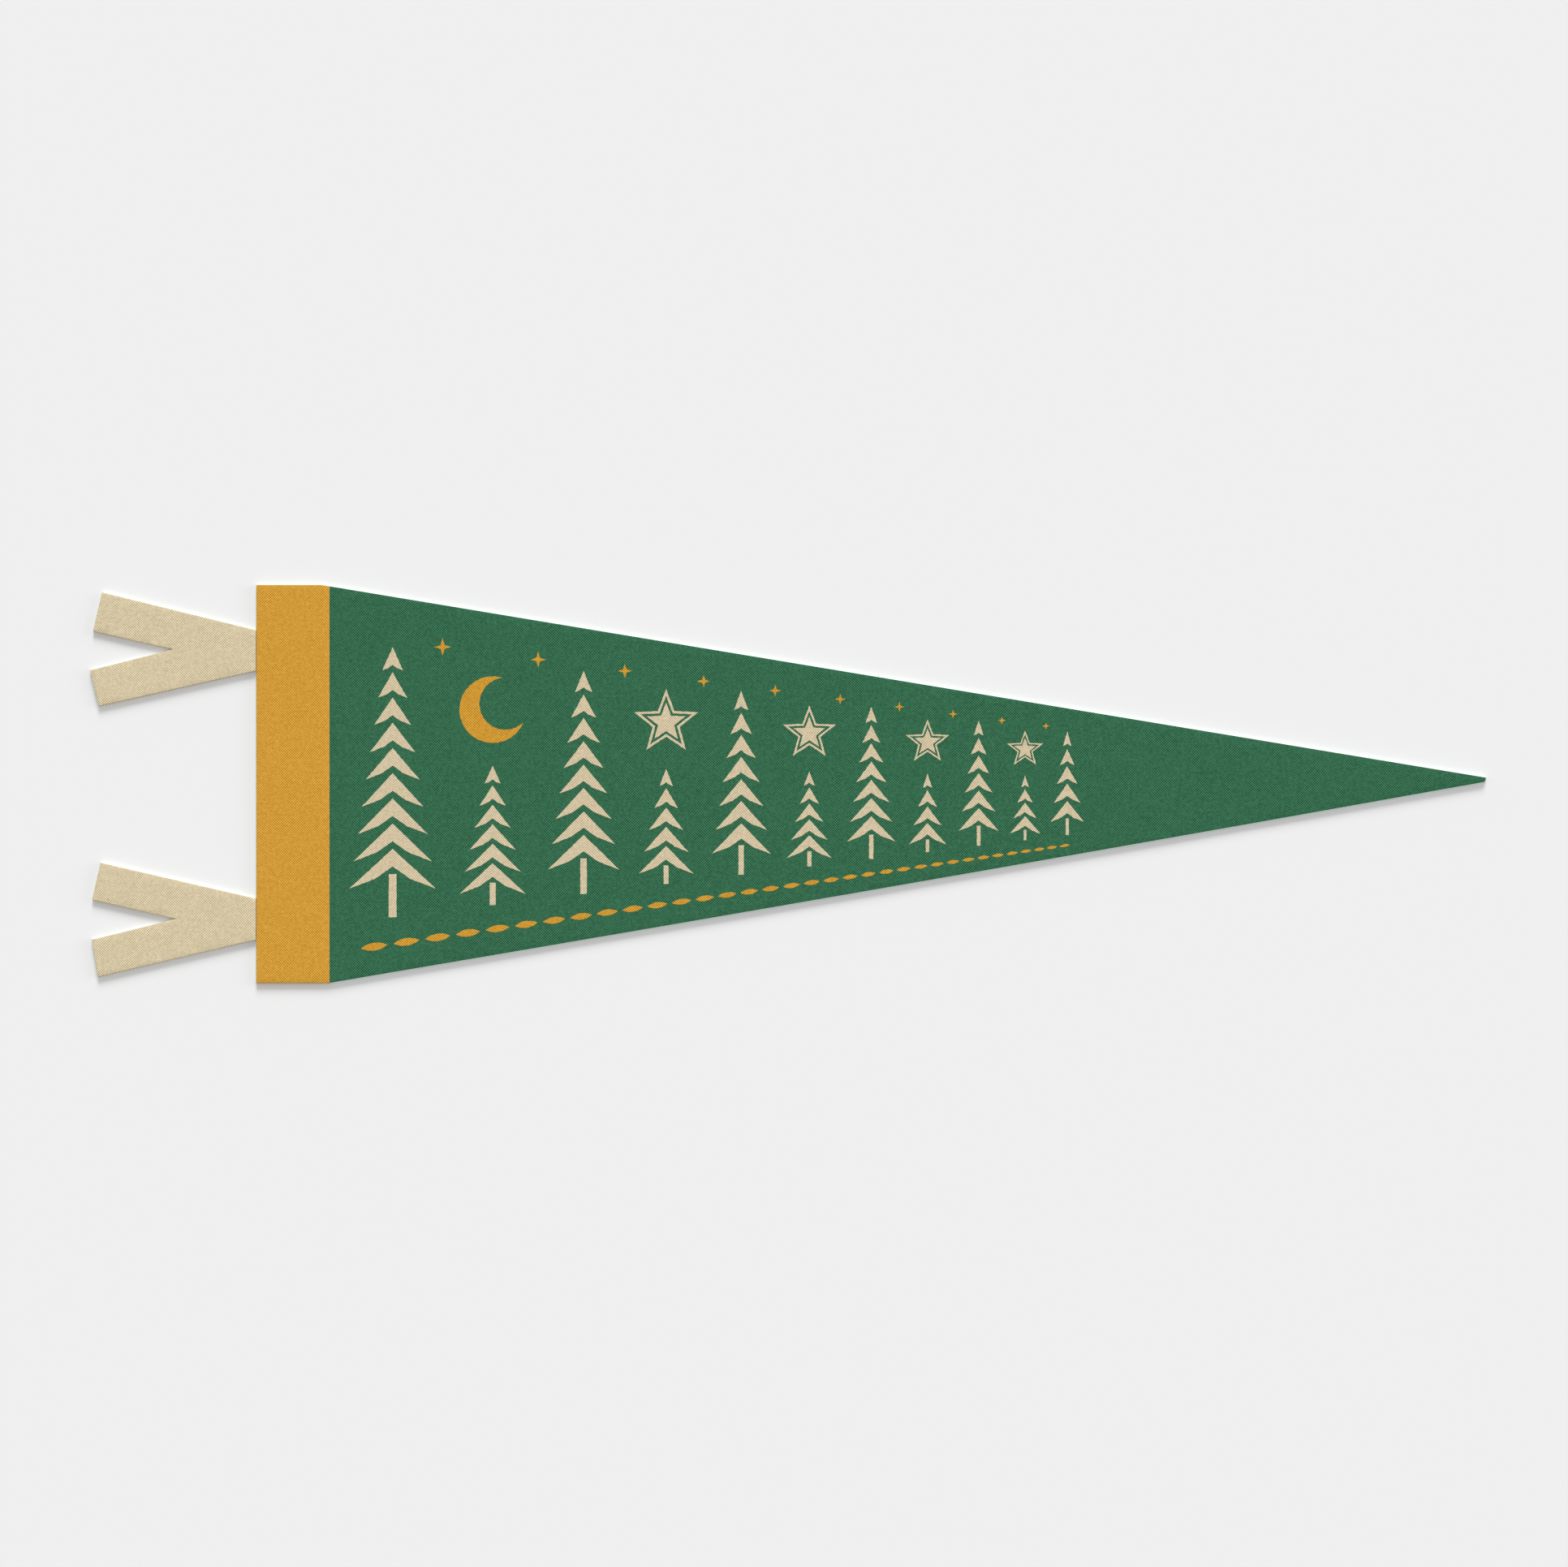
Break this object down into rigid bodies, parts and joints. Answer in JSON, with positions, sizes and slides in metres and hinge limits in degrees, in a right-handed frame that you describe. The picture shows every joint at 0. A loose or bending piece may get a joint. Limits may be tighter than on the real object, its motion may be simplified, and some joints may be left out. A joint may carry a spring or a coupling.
{
  "type": "pennant flag",
  "caption": "Flat triangular cloth pennant with an upright header band and forked cloth ties, lying face up.",
  "frame": {"origin": "middle of the whole flag's outline, on the surface that it lies on", "axes": "+X runs from the ties to the tip, +Y runs up the hoist, +Z points out of the printed face"},
  "size_m": [0.7914, 0.2256, 0.0023],
  "materials": {
    "green_canvas": "matt plain-weave cotton canvas, printed on its face",
    "gold_canvas": "matt plain-weave cotton canvas",
    "cream_canvas": "matt plain-weave cotton canvas, undyed"
  },
  "bodies": {
    "root": {"field": "green_canvas", "header_band": "gold_canvas", "tie_upper": "cream_canvas", "tie_lower": "cream_canvas"}
  },
  "joints": []
}
